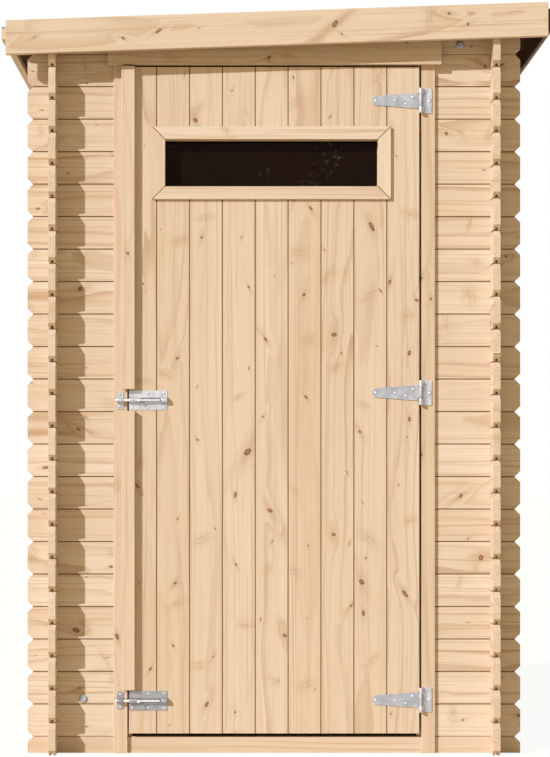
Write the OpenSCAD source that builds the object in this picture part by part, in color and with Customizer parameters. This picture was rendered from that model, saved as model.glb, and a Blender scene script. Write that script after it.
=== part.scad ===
// Small log-wall tool shed with a pent roof and one outward-opening boarded door.
// Frame: +Z up, the door faces -Y, the origin is at ground level under the middle of the roof.

/* [Walls] */
// Width over the outer faces of the two side walls
wall_w = 1210; // [1000:5:2400]
// Depth over the outer faces of the front and back walls
wall_d = 810; // [600:5:2400]
// Full logs in the low (left) side wall
log_count = 22; // [14:1:26]
// Cover height of one log
log_h = 88; // [70:1:120]
// Thickness of a log
log_t = 19; // [16:0.5:45]
// Length of log that runs on past each corner
log_overhang = 62; // [40:1:120]
// 45 degree cut on the corners of each log end
end_chamfer = 15; // [5:0.5:20]
// Small chamfer along each long edge of a log
edge_chamfer = 2; // [0.5:0.1:4]

/* [Roof] */
// Rise of the roof from left to right, per millimetre of width
roof_rise = 0.034; // [0.01:0.001:0.15]
// Overhang of the roof past the left wall
eave_left = 125; // [60:1:250]
// Overhang of the roof past the right wall
eave_right = 140; // [60:1:250]
// Overhang of the roof past the front wall and the back wall
eave_front = 80; // [75:1:250]
// Thickness of the roof boards
deck_t = 16; // [12:1:25]
// Cover width of one roof board
deck_board = 96; // [70:1:145]
// Thickness of the front and back fascia boards
fascia_t = 17.5; // [12:0.5:25]
// Height of the front and back fascia boards
fascia_h = 91; // [60:1:160]

/* [Door] */
// Width of the door leaf
door_w = 785; // [600:1:950]
// Free gap between the door leaf and its frame
door_gap = 5; // [5:0.5:8]
// Cover width of one door board
door_board = 88.8; // [60:0.1:145]
// Thickness of the door boards
door_t = 17; // [14:0.5:27]
// Width of each door post
post_w = 37.2; // [30:0.1:60]
// Height of the cover batten gap at each bolt
batten_gap = 59; // [58:1:80]

/* [Window] */
// Width over the outside of the window trim
window_w = 644.5; // [300:0.5:700]
// Height over the outside of the window trim
window_h = 197; // [120:1:400]
// Width of each window trim piece
trim_w = 35; // [20:0.5:60]
// Distance from the top of the door down to the top of the window trim
window_drop = 161; // [120:1:400]

/* [Hardware] */
// Distance from the hinge pin to the tip of the hinge strap
strap_len = 132; // [80:1:300]
// Height of the hinge plate
hinge_h = 66; // [50:1:100]
// Radius of the hinge pin
pin_r = 2.5; // [2:0.1:4]
// Radius of the sliding bolt
rod_r = 4; // [3:0.1:6]
// Length of the sliding bolt
rod_len = 120; // [100:1:200]

/* [Hidden] */
$fn = 48;

// colours
pine = "#E6C592";
pine_dark = "#CFAE7C";
steel = "#B9BBBC";
felt_green = "#4A4F4B";
glass_dark = "#1B1412";

// the joint gap that keeps neighbouring boards separate
gap = 0.3;
// clearance in the corner notches
notch_clear = 0.2;
half_log = log_h / 2;
log_body = log_h - gap;
tongue_w = log_t * 0.32;
tongue_h = 6.5;
groove_w = tongue_w + 1;
groove_h = 8;
notch_d = log_h / 4 + notch_clear / 2;
notch_w = log_t + 2 * notch_clear;

// plan positions
wall_cx = -(eave_right - eave_left) / 2;
wx = wall_w / 2;
y_front = -wall_d / 2;
y_back = wall_d / 2;
log_half_len = wx + log_overhang;
corner_x = wx - log_t / 2;
corner_y = wall_d / 2 - log_t / 2;

// roof heights
roof_z0 = log_count * log_h;
front_full = log_count - 1;
head_z = half_log + front_full * log_h;
deck_x0 = -wx - eave_left + 18.5;
deck_x1 = wx + eave_right - 12;
roof_y0 = y_front - eave_front + fascia_t;
roof_y1 = y_back + eave_front - fascia_t;
felt_t = 2.5;
// hairline seat between sloping roof pieces
seat = 0.1;
big = 4000;

// door frame
door_cx = 1;
face_jamb = 9;
face_door = 14;
door_x0 = door_cx - door_w / 2;
door_x1 = door_cx + door_w / 2;
jamb_in0 = door_x0 - door_gap;
jamb_in1 = door_x1 + door_gap;
post_out0 = jamb_in0 - post_w;
post_out1 = jamb_in1 + post_w;
log_in_post = 18;
lip = face_jamb;
stop_w = 12;
stop_y = 8;
sill_top = half_log;
door_z0 = sill_top + 10.5;
door_z1 = head_z - 38;
door_mid = (door_z0 + door_z1) / 2;
lintel_t = 17;
lintel_z0 = door_z1 + door_gap;
lintel_h = 77;
lintel_over = 15.5;

// door pieces
batten_w = 36;
batten_t = 17;
batten_x0 = door_x0 - 19.5;
ledge_t = 18;
ledge_h = 90;
ledge_in = 16;
win_cx = -7;
win_z1 = door_z1 - window_drop;
win_z0 = win_z1 - window_h;
win_x0 = win_cx - window_w / 2;
win_x1 = win_cx + window_w / 2;
trim_t = 8;
cut_grow = 2;
hole_x0 = win_x0 + trim_w - cut_grow;
hole_x1 = win_x1 - trim_w + cut_grow;
hole_z0 = win_z0 + trim_w - cut_grow;
hole_z1 = win_z1 - trim_w + cut_grow;
glass_t = 4;

// hardware
hinge_x = door_x1 + door_gap / 2;
hinge_y = y_front - 19;
knuckle_r = 5;
plate_t = 2.5;
plate_w = 30;
knuckle_mid = 30;
knuckle_gap = 0.5;
hinge_z = [door_z1 - 91, door_mid + 20, door_z0 + 90.5];
bolt_z = [door_mid, door_z0 + 88.5];
rod_y = y_front - 20;
bolt_x0 = door_x0 + 0.5;
bolt_len = 103;
bolt_h = 52;
bolt_t = 1.5;
guide_r = 8;
slot_r = 6.3;
slot_drop = 1;
window_cut0 = bolt_x0 + 21.5;
window_cut1 = bolt_x0 + 86;
rod_x0 = door_x0 - 36.5;
keeper_x0 = door_x0 - 32.5;
keeper_w = 17.5;
keeper_h = 48;
bolt_clear = 0.05;

// ---- helpers -------------------------------------------------------------

// extrude a drawing in X and Z from y0 to y1
module xz(y0, y1) {
    translate([0, y1, 0])
        rotate([90, 0, 0])
            linear_extrude(y1 - y0)
                children();
}

// extrude a drawing in Y and Z from x0 to x1
module yz(x0, x1) {
    translate([x0, 0, 0])
        rotate([90, 0, 90])
            linear_extrude(x1 - x0)
                children();
}

// a plain box between two corners
module box(a, b) {
    translate(a)
        cube([b[0] - a[0], b[1] - a[1], b[2] - a[2]]);
}

// height of the underside of the roof boards at a place across the shed
function roof_under(x) = roof_z0 + roof_rise * (x + wx);

// everything below the roof, less a small seat gap
module below_roof() {
    xz(-big, big)
        polygon([
            [-big, -1],
            [big, -1],
            [big, roof_under(big) - gap],
            [-big, roof_under(-big) - gap]
        ]);
}

// end view of a log: edge chamfers, a tongue on top and a groove below
function log_section(h, grooved) = concat(
    grooved ? [
        [edge_chamfer, 0],
        [(log_t - groove_w) / 2, 0],
        [(log_t - groove_w) / 2, groove_h],
        [(log_t + groove_w) / 2, groove_h],
        [(log_t + groove_w) / 2, 0],
        [log_t - edge_chamfer, 0],
        [log_t, edge_chamfer]
    ] : [
        [0, 0],
        [log_t, 0]
    ],
    [
        [log_t, h - edge_chamfer],
        [log_t - edge_chamfer, h],
        [(log_t + tongue_w) / 2, h],
        [(log_t + tongue_w) / 2, h + tongue_h],
        [(log_t - tongue_w) / 2, h + tongue_h],
        [(log_t - tongue_w) / 2, h],
        [edge_chamfer, h],
        [0, h - edge_chamfer]
    ],
    grooved ? [[0, edge_chamfer]] : []
);

// side view of a log from x0 to x1, c0 and c1 the end cuts, xs the corner notches
function log_side(x0, x1, c0, c1, xs, h, full) = concat(
    full ? [[x0, c0], [x0 + c0, 0]] : [[x0, 0]],
    full ? [for (c = xs) each [
        [c - notch_w / 2, 0],
        [c - notch_w / 2, notch_d],
        [c + notch_w / 2, notch_d],
        [c + notch_w / 2, 0]
    ]] : [],
    full ? [[x1 - c1, 0], [x1, c1]] : [[x1, 0]],
    c1 > 0 ? [[x1, h - c1], [x1 - c1 - tongue_h, h + tongue_h]] : [[x1, h + tongue_h]],
    [for (i = [len(xs) - 1 : -1 : 0]) each [
        [xs[i] + notch_w / 2, h + tongue_h],
        [xs[i] + notch_w / 2, h + gap - notch_d],
        [xs[i] - notch_w / 2, h + gap - notch_d],
        [xs[i] - notch_w / 2, h + tongue_h]
    ]],
    c0 > 0 ? [[x0 + c0 + tongue_h, h + tongue_h], [x0, h - c0]] : [[x0, h + tongue_h]]
);

// the same outline without doubled points where an end is square
function tidy(p) = [for (i = [0 : len(p) - 1])
    if (norm(p[i] - p[(i + 1) % len(p)]) > 0.001) p[i]];

// one log along X, its outer face at y = 0 and its bottom at z
module log(x0, x1, c0, c1, xs, z, h, full) {
    translate([0, 0, z])
        intersection() {
            yz(x0, x1)
                polygon(log_section(h, full));
            xz(0, log_t)
                polygon(tidy(log_side(x0, x1, c0, c1, xs, h, full)));
        }
}

// one full-length log of the front or back wall
module cross_log(z, h, full) {
    log(-log_half_len, log_half_len, end_chamfer, end_chamfer,
        [-corner_x, corner_x], z, h, full);
}

// one side-wall log, turned to run from front to back
module side_log(x_face, z) {
    translate([x_face, 0, 0])
        rotate([0, 0, 90])
            log(-wall_d / 2 - log_overhang, wall_d / 2 + log_overhang,
                end_chamfer, end_chamfer, [-corner_y, corner_y], z, log_body, true);
}

// ---- walls ---------------------------------------------------------------

// the ripped half log under the door; its tongue is planed off between the posts
module front_sill_log() {
    color(pine)
        translate([wall_cx, y_front, 0])
            difference() {
                cross_log(0, half_log - gap, false);
                box([post_out0 - gap, -1, half_log - gap],
                    [post_out1 + gap, log_t + 1, half_log + tongue_h + 1]);
            }
}

module front_wall_left() {
    color(pine)
        translate([wall_cx, y_front, 0])
            for (i = [0 : front_full - 1])
                log(-log_half_len, post_out0 + log_in_post, end_chamfer, 0,
                    [-corner_x], half_log + i * log_h, log_body, true);
}

module front_wall_right() {
    color(pine)
        translate([wall_cx, y_front, 0])
            for (i = [0 : front_full - 1])
                log(post_out1 - log_in_post, log_half_len, 0, end_chamfer,
                    [corner_x], half_log + i * log_h, log_body, true);
}

module front_wall_head() {
    color(pine)
        translate([wall_cx, y_front, 0])
            intersection() {
                cross_log(head_z, log_body, true);
                below_roof();
            }
}

module back_wall() {
    color(pine)
        translate([wall_cx, y_back - log_t, 0]) {
            cross_log(0, half_log - gap, false);
            for (i = [0 : front_full - 1])
                cross_log(half_log + i * log_h, log_body, true);
            intersection() {
                cross_log(head_z, log_body, true);
                below_roof();
            }
        }
}

module side_wall(x_face, count) {
    for (i = [0 : count - 2])
        side_log(x_face, i * log_h);
    intersection() {
        side_log(x_face, (count - 1) * log_h);
        below_roof();
    }
}

module left_wall() {
    color(pine)
        translate([wall_cx, 0, 0])
            side_wall(-wx + log_t, log_count);
}

// the high wall carries on up with ripped logs under the roof
right_count = ceil((roof_under(wx - log_t) - gap - 2) / log_h);
module right_wall() {
    color(pine)
        translate([wall_cx, 0, 0])
            side_wall(wx, right_count);
}

// ---- door frame ----------------------------------------------------------

// plan of a door post on the left: outer lip, log groove, inner lip and door stop
module post_plan() {
    polygon([
        [0, -lip],
        [post_w, -lip],
        [post_w, stop_y],
        [post_w + stop_w, stop_y],
        [post_w + stop_w, log_t + lip],
        [0, log_t + lip],
        [0, log_t + notch_clear],
        [log_in_post + gap, log_t + notch_clear],
        [log_in_post + gap, -notch_clear],
        [0, -notch_clear]
    ]);
}

module post() {
    translate([0, 0, sill_top])
        linear_extrude(head_z - gap - sill_top)
            post_plan();
    box([0, -lip, 0], [post_w, -notch_clear, sill_top]);
}

module left_jamb() {
    color(pine)
        translate([wall_cx + post_out0, y_front, 0])
            post();
}

module right_jamb() {
    color(pine)
        translate([wall_cx + post_out1, y_front, 0])
            mirror([1, 0, 0])
                post();
}

// a rail over the door whose lips grip the log above
module frame_head() {
    head_lip = 11;
    head_x0 = jamb_in0 + stop_w + gap;
    head_x1 = jamb_in1 - stop_w - gap;
    color(pine)
        translate([wall_cx, y_front, 0])
            yz(head_x0, head_x1)
                polygon([
                    [-lip, lintel_z0 + 3],
                    [log_t + lip, lintel_z0 + 3],
                    [log_t + lip, head_z + head_lip],
                    [log_t + notch_clear, head_z + head_lip],
                    [log_t + notch_clear, head_z - gap],
                    [-notch_clear, head_z - gap],
                    [-notch_clear, head_z + head_lip],
                    [-lip, head_z + head_lip]
                ]);
}

module lintel_board() {
    color(pine)
        translate([wall_cx, y_front, 0])
            box([post_out0 - lintel_over, -lip - lintel_t, lintel_z0],
                [post_out1 + lintel_over, -lip, lintel_z0 + lintel_h]);
}

// ---- roof ----------------------------------------------------------------

// a slice that follows the roof slope, from d0 to d1 above the underside of the boards
module roof_slice(x0, x1, d0, d1) {
    polygon([
        [x0, roof_under(x0) + d0],
        [x1, roof_under(x1) + d0],
        [x1, roof_under(x1) + d1],
        [x0, roof_under(x0) + d1]
    ]);
}

module roof_purlin() {
    purlin_w = 45;
    purlin_h = 70;
    color(pine)
        translate([wall_cx, 0, 0])
            xz(-purlin_w / 2, purlin_w / 2)
                roof_slice(-wx + log_t + gap, wx - log_t - gap,
                    -purlin_h - seat, -seat);
}

module roof_boards() {
    span = deck_x1 - deck_x0;
    n = ceil(span / deck_board);
    pitch = span / n;
    color(pine_dark)
        translate([wall_cx, 0, 0])
            xz(roof_y0, roof_y1)
                for (i = [0 : n - 1])
                    roof_slice(deck_x0 + i * pitch + gap / 2,
                        deck_x0 + (i + 1) * pitch - gap / 2, 0, deck_t);
}

module roof_felt() {
    color(felt_green)
        translate([wall_cx, 0, 0])
            xz(roof_y0, roof_y1)
                roof_slice(-wx - eave_left, wx + eave_right,
                    deck_t + seat, deck_t + felt_t);
}

fascia_drop = fascia_h - deck_t - 17;
module fascia(y0, y1) {
    fascia_x0 = -wx - eave_left + 13;
    fascia_x1 = wx + eave_right - 15;
    color(pine)
        translate([wall_cx, 0, 0])
            xz(y0, y1)
                roof_slice(fascia_x0, fascia_x1, -fascia_drop, fascia_h - fascia_drop);
}

module front_fascia() {
    fascia(roof_y0 - fascia_t, roof_y0);
}

module back_fascia() {
    fascia(roof_y1, roof_y1 + fascia_t);
}

module left_eave_board() {
    eave_drop = 15;
    color(pine)
        translate([wall_cx, 0, 0])
            xz(roof_y0, roof_y1)
                roof_slice(-wx - eave_left, deck_x0, -eave_drop, deck_t);
}

module right_eave_board() {
    eave_drop = 40;
    color(pine)
        translate([wall_cx, 0, 0])
            xz(roof_y0, roof_y1)
                roof_slice(deck_x1, wx + eave_right, -eave_drop, deck_t);
}

// ---- floor ---------------------------------------------------------------

floor_t = 18;
module floor_bearers() {
    bearer_w = 45;
    bearer_n = 4;
    run = wall_w - 2 * log_t - 2 * gap - bearer_w;
    color(pine_dark)
        translate([wall_cx, 0, 0])
            for (i = [0 : bearer_n - 1])
                translate([-run / 2 + i * run / (bearer_n - 1) - bearer_w / 2, 0, 0])
                    box([0, y_front + log_t + gap, 0],
                        [bearer_w, y_back - log_t - gap, half_log - floor_t]);
}

module floor_boards() {
    span = wall_d - 2 * log_t - 2 * gap;
    n = ceil(span / deck_board);
    pitch = span / n;
    post_reach = log_t + lip + gap;
    color(pine_dark)
        translate([wall_cx, y_front + log_t + gap, 0])
            for (i = [0 : n - 1])
                box([-wx + log_t + gap, i * pitch + gap / 2, half_log - floor_t],
                    [wx - log_t - gap, (i + 1) * pitch - gap / 2, half_log]);
}

// ---- hinges --------------------------------------------------------------

// plate with its two outer knuckles and the pin; the pin is at x = 0, y = 0
module hinge_plate(z) {
    y_wall = y_front - face_jamb - hinge_y;
    end_h = (hinge_h - knuckle_mid) / 2 - knuckle_gap;
    web_x = knuckle_r + 1.5;
    color(steel)
        translate([wall_cx + hinge_x, hinge_y, z - hinge_h / 2]) {
            for (dz = [0, hinge_h - end_h])
                translate([0, 0, dz])
                    linear_extrude(end_h) {
                        circle(knuckle_r);
                        polygon([
                            [0, knuckle_r - plate_t],
                            [web_x, knuckle_r - plate_t],
                            [web_x + 4, y_wall - plate_t],
                            [web_x + 4, y_wall],
                            [web_x - 1.5, y_wall],
                            [web_x - 1.5, knuckle_r],
                            [0, knuckle_r]
                        ]);
                    }
            box([web_x + 0.5, y_wall - plate_t, 0], [plate_w, y_wall, hinge_h]);
            cylinder(h = hinge_h, r = pin_r);
        }
}

// strap with its middle knuckle, bored for the pin
module hinge_strap(z) {
    root_x = -knuckle_r - 1;
    root_h = 43;
    tip_r = 12.5;
    tip_x = -strap_len + tip_r;
    bore_r = pin_r + bolt_clear;
    color(steel)
        translate([wall_cx + hinge_x, hinge_y, z])
            difference() {
                union() {
                    translate([0, knuckle_r, 0])
                        rotate([90, 0, 0])
                            linear_extrude(plate_t) {
                                polygon([
                                    [root_x, -root_h / 2],
                                    [root_x, root_h / 2],
                                    [tip_x, tip_r],
                                    [tip_x, -tip_r]
                                ]);
                                translate([tip_x, 0])
                                    circle(tip_r);
                            }
                    translate([0, 0, -knuckle_mid / 2])
                        linear_extrude(knuckle_mid) {
                            circle(knuckle_r);
                            translate([root_x - 1, knuckle_r - plate_t])
                                square([-root_x + 1, plate_t]);
                        }
                }
                translate([0, 0, -knuckle_mid / 2 - 1])
                    cylinder(h = knuckle_mid + 2, r = bore_r);
            }
}

module hinge_plate_top() {
    hinge_plate(hinge_z[0]);
}

module hinge_plate_middle() {
    hinge_plate(hinge_z[1]);
}

module hinge_plate_bottom() {
    hinge_plate(hinge_z[2]);
}

module hinge_strap_top() {
    hinge_strap(hinge_z[0]);
}

module hinge_strap_middle() {
    hinge_strap(hinge_z[1]);
}

module hinge_strap_bottom() {
    hinge_strap(hinge_z[2]);
}

// ---- barrel bolts --------------------------------------------------------

// a loop around the bolt, open at the back, from the surface at y = s
module loop_section(r_out, r_in, s) {
    difference() {
        union() {
            circle(r_out);
            translate([0, -r_out])
                square([s, 2 * r_out]);
        }
        circle(r_in);
        translate([0, -r_in])
            square([s + 1, 2 * r_in]);
    }
}

module keeper(z) {
    s = rod_y - (y_front - face_jamb);
    loop_out = 6.2;
    loop_in = 4.6;
    color(steel)
        translate([wall_cx + keeper_x0, rod_y, z])
            yz(0, keeper_w) {
                loop_section(loop_out, loop_in, -s);
                translate([-s - bolt_t, loop_in])
                    square([bolt_t, keeper_h / 2 - loop_in]);
                translate([-s - bolt_t, -keeper_h / 2])
                    square([bolt_t, keeper_h / 2 - loop_in]);
            }
}

module bolt_housing(z) {
    s = (y_front - face_door) - rod_y;
    color(steel)
        translate([wall_cx + bolt_x0, rod_y, z])
            difference() {
                union() {
                    yz(0, bolt_len)
                        translate([s - bolt_t, -bolt_h / 2])
                            square([bolt_t, bolt_h]);
                    yz(0, bolt_len) {
                        circle(guide_r);
                        translate([0, -guide_r])
                            square([s - bolt_t / 2, 2 * guide_r]);
                    }
                }
                // long slot in the barrel, wider than the rod, for the knob to travel in
                yz(window_cut0 - bolt_x0, window_cut1 - bolt_x0)
                    translate([-guide_r - 1, -slot_r])
                        square([guide_r + 1 + s - bolt_t, 2 * slot_r]);
                // barrel walls beside the slot are lower than the two guides
                yz(window_cut0 - bolt_x0, window_cut1 - bolt_x0)
                    translate([-guide_r - 1, -guide_r - 1])
                        square([guide_r + 1 - slot_drop, 2 * guide_r + 2]);
                yz(-1, bolt_len + 1)
                    circle(rod_r + bolt_clear);
                box([-1, s, -bolt_h], [bolt_len + 1, s + guide_r, bolt_h]);
            }
}

module bolt_rod(z) {
    knob_x = window_cut0 + 4 - rod_x0;
    knob_r = 3;
    knob_head_r = 4.5;
    knob_len = 13;
    head_len = 4;
    color(steel)
        translate([wall_cx + rod_x0, rod_y, z]) {
            yz(0, rod_len)
                circle(rod_r);
            translate([knob_x, 0, 0])
                rotate([90, 0, 0]) {
                    cylinder(h = knob_len, r = knob_r);
                    translate([0, 0, knob_len - head_len])
                        cylinder(h = head_len, r = knob_head_r);
                }
        }
}

module keeper_upper() {
    keeper(bolt_z[0]);
}

module keeper_lower() {
    keeper(bolt_z[1]);
}

module bolt_housing_upper() {
    bolt_housing(bolt_z[0]);
}

module bolt_housing_lower() {
    bolt_housing(bolt_z[1]);
}

module bolt_rod_upper() {
    bolt_rod(bolt_z[0]);
}

module bolt_rod_lower() {
    bolt_rod(bolt_z[1]);
}

// round heads of the tie bolts in the front wall
module coach_bolts() {
    head_r = 10.5;
    head_t = 3;
    dome_t = 2;
    off = 7;
    bay_l = (post_out0 - wx + log_t) / 2 - off;
    bay_r = (post_out1 + wx - log_t) / 2 - off;
    low_z = half_log + 1.17 * log_h;
    high_z = head_z + 0.28 * log_h;
    color(steel)
        for (p = [[bay_l, low_z], [bay_r, high_z]])
            translate([wall_cx + p[0], y_front, p[1]])
                rotate([90, 0, 0]) {
                    cylinder(h = head_t, r = head_r);
                    translate([0, 0, head_t])
                        cylinder(h = dome_t, r1 = head_r, r2 = head_r * 0.7);
                }
}

// ---- door ----------------------------------------------------------------

door_n = floor(door_w / door_board);
door_rest = door_w - door_n * door_board;
door_first = door_rest < 20 ? door_rest + door_board : door_rest;
door_count = door_rest < 20 ? door_n : door_n + 1;
function board_x0(i) = i == 0 ? door_x0 : door_x0 + door_first + (i - 1) * door_board;
function board_x1(i) = door_x0 + door_first + i * door_board;

// plan of one door board: small chamfers, a tongue on the right and a groove on the left
module door_board_plan(x0, x1, first, last) {
    c = 1.6;
    tw = 5;
    th = 5;
    gw = 6;
    gh = 6;
    a = x0 + gap / 2;
    b = x1 - gap / 2;
    polygon(concat(
        [[a + c, 0], [b - c, 0], [b, c]],
        last ? [] : [
            [b, (door_t - tw) / 2],
            [b + th, (door_t - tw) / 2],
            [b + th, (door_t + tw) / 2],
            [b, (door_t + tw) / 2]
        ],
        [[b, door_t - c], [b - c, door_t], [a + c, door_t], [a, door_t - c]],
        first ? [] : [
            [a, (door_t + gw) / 2],
            [a + gh, (door_t + gw) / 2],
            [a + gh, (door_t - gw) / 2],
            [a, (door_t - gw) / 2]
        ],
        [[a, c]]
    ));
}

// number of the door board that the line x runs through
function board_at(x) = [for (i = [0 : door_count - 1]) if (x < board_x1(i)) i][0];

function is_side_board(i) = i == board_at(hole_x0) || i == board_at(hole_x1);

// the boards at the two ends of the window hole, or all the others
module door_board_set(side) {
    color(pine)
        translate([wall_cx, y_front - face_door, 0])
            difference() {
                translate([0, 0, door_z0])
                    linear_extrude(door_z1 - door_z0)
                        for (i = [0 : door_count - 1])
                            if (is_side_board(i) == side)
                                door_board_plan(board_x0(i), board_x1(i),
                                    i == 0, i == door_count - 1);
                box([hole_x0, -1, hole_z0], [hole_x1, door_t + 1, hole_z1]);
            }
}

module door_boards() {
    door_board_set(false);
}

module window_side_boards() {
    door_board_set(true);
}

module door_ledges() {
    y = y_front - face_door + door_t;
    color(pine)
        translate([wall_cx, y, 0])
            for (z = [door_z0 + 90.5, door_mid, door_z1 - 79])
                box([door_x0 + ledge_in, 0, z - ledge_h / 2],
                    [door_x1 - ledge_in - 3, ledge_t, z + ledge_h / 2]);
}

module batten(z0, z1) {
    color(pine)
        translate([wall_cx, y_front - face_door, 0])
            box([batten_x0, -batten_t, z0], [batten_x0 + batten_w, 0, z1]);
}

module cover_batten_upper() {
    batten(bolt_z[0] + batten_gap / 2, door_z1);
}

module cover_batten_lower() {
    batten(bolt_z[1] + batten_gap / 2, bolt_z[0] - batten_gap / 2);
}

// window trim, mitred at the corners
module trim(points) {
    color(pine)
        translate([wall_cx, y_front - face_door, 0])
            xz(-trim_t, 0)
                polygon(points);
}

// half of the hairline gap at a mitre
m = gap / 2;
module window_trim_top() {
    trim([
        [win_x0 + m, win_z1],
        [win_x1 - m, win_z1],
        [win_x1 - trim_w - m, win_z1 - trim_w],
        [win_x0 + trim_w + m, win_z1 - trim_w]
    ]);
}

module window_trim_bottom() {
    trim([
        [win_x0 + m, win_z0],
        [win_x1 - m, win_z0],
        [win_x1 - trim_w - m, win_z0 + trim_w],
        [win_x0 + trim_w + m, win_z0 + trim_w]
    ]);
}

module window_trim_left() {
    trim([
        [win_x0, win_z0 + m],
        [win_x0, win_z1 - m],
        [win_x0 + trim_w, win_z1 - trim_w - m],
        [win_x0 + trim_w, win_z0 + trim_w + m]
    ]);
}

module window_trim_right() {
    trim([
        [win_x1, win_z0 + m],
        [win_x1, win_z1 - m],
        [win_x1 - trim_w, win_z1 - trim_w - m],
        [win_x1 - trim_w, win_z0 + trim_w + m]
    ]);
}

// frame behind the boards, grooved to hold the glass
frame_t = 18;
glass_y = 10;
glass_in = 6;
module window_frame_inner() {
    groove = glass_t + 0.4;
    color(pine_dark)
        translate([wall_cx, y_front - face_door + door_t, 0])
            difference() {
                box([win_x0, 0, win_z0], [win_x1, frame_t, win_z1]);
                box([win_x0 + trim_w, -1, win_z0 + trim_w],
                    [win_x1 - trim_w, frame_t + 1, win_z1 - trim_w]);
                box([win_x0 + trim_w - glass_in, glass_y - 0.2, win_z0 + trim_w - glass_in],
                    [win_x1 - trim_w + glass_in, glass_y - 0.2 + groove,
                        win_z1 - trim_w + glass_in]);
            }
}

module window_glass() {
    e = glass_in - gap;
    color(glass_dark)
        translate([wall_cx, y_front - face_door + door_t + glass_y, 0])
            box([win_x0 + trim_w - e, 0, win_z0 + trim_w - e],
                [win_x1 - trim_w + e, glass_t, win_z1 - trim_w + e]);
}

front_sill_log();
front_wall_left();
front_wall_right();
front_wall_head();
back_wall();
left_wall();
right_wall();
left_jamb();
right_jamb();
frame_head();
lintel_board();
roof_purlin();
roof_boards();
roof_felt();
front_fascia();
back_fascia();
left_eave_board();
right_eave_board();
floor_bearers();
floor_boards();
hinge_plate_top();
hinge_plate_middle();
hinge_plate_bottom();
keeper_upper();
keeper_lower();
coach_bolts();
door_boards();
window_side_boards();
door_ledges();
cover_batten_upper();
cover_batten_lower();
window_trim_top();
window_trim_bottom();
window_trim_left();
window_trim_right();
window_frame_inner();
window_glass();
hinge_strap_top();
hinge_strap_middle();
hinge_strap_bottom();
bolt_housing_upper();
bolt_housing_lower();
bolt_rod_upper();
bolt_rod_lower();
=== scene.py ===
# %% [markdown]
# # A small log-wall tool shed
# The shed stands on the ground with its door towards -Y. Its logs, posts, boards and metalwork
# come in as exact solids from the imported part. This lesson gives them bare pine, zinc, glass and
# felt finishes, adds the screws, and lights the whole like a clear afternoon.

# %% Load the frame
import math

import bmesh
import bpy
from mathutils import Matrix, Vector


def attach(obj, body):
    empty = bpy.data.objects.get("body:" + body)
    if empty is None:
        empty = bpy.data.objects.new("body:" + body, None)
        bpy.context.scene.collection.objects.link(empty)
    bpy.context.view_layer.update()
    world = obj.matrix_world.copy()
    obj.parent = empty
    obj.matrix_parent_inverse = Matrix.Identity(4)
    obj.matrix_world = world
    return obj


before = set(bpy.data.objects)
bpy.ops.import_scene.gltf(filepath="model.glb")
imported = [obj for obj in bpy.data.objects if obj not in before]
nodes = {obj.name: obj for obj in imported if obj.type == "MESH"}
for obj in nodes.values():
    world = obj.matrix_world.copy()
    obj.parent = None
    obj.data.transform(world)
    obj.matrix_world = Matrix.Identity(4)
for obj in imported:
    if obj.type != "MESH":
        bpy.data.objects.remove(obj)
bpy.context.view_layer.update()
print("pieces in the frame:", len(nodes))


# %% [markdown]
# ## Where things are
# Every later step places something by these few sizes, in metres. They repeat the part's own
# sizes: the log cover height, the front face of the wall, the door leaf and its hardware.

# %% The shed's own sizes
LOG_H = 0.088
ROOF_SLOPE = 0.034
WALL_X = -0.0075
WALL_FRONT = -0.405
DOOR_W = 0.785
DOOR_MID = WALL_X + 0.001
DOOR_X0, DOOR_X1 = DOOR_MID - DOOR_W / 2, DOOR_MID + DOOR_W / 2
DOOR_Z0, DOOR_Z1 = 0.0545, 1.854
DOOR_FACE = WALL_FRONT - 0.014
POST_FACE = WALL_FRONT - 0.009
DOOR_BOARD = 0.0888
DOOR_FIRST = DOOR_W - 8 * DOOR_BOARD
HINGE_X = DOOR_X1 + 0.0025
HINGE_Z = (DOOR_Z1 - 0.091, (DOOR_Z0 + DOOR_Z1) / 2 + 0.020, DOOR_Z0 + 0.0905)
BOLT_Z = ((DOOR_Z0 + DOOR_Z1) / 2, DOOR_Z0 + 0.0885)
ROOF_X0, ROOF_BOARD = -0.719, 1.4445 / 16
FLOOR_Y0, FLOOR_BOARD = -0.3857, 0.7714 / 9
print("door", round(DOOR_X0, 4), "to", round(DOOR_X1, 4))


# %% [markdown]
# ## The camera
# A long lens five metres in front of the wall keeps the logs nearly parallel. The camera looks
# level, straight at the wall, from a little left of the middle and below mid-height, and the lens
# is shifted up and to the right, as a building photographer does to keep posts upright.

# %% Camera
cam_data = bpy.data.cameras.new("camera")
cam_data.lens = 87.8
cam_data.sensor_width = 36.0
cam_data.shift_x = 0.0502
cam_data.shift_y = 0.1169
cam = bpy.data.objects.new("camera", cam_data)
cam.location = (WALL_X - 0.100, WALL_FRONT - 5.0, 0.774)
cam.rotation_euler = (math.radians(90), 0, 0)
bpy.context.scene.collection.objects.link(cam)
bpy.context.scene.camera = cam
print("camera height", cam.location.z)


# %% [markdown]
# ## Wiring shader nodes by hand
# A wood pattern is mostly arithmetic on the place of a point, so a small helper that adds one
# node at a time keeps the recipes readable. Each call returns the socket with the answer. `step`
# is a soft threshold, and `dice` gives three fixed random numbers for a place.

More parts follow.
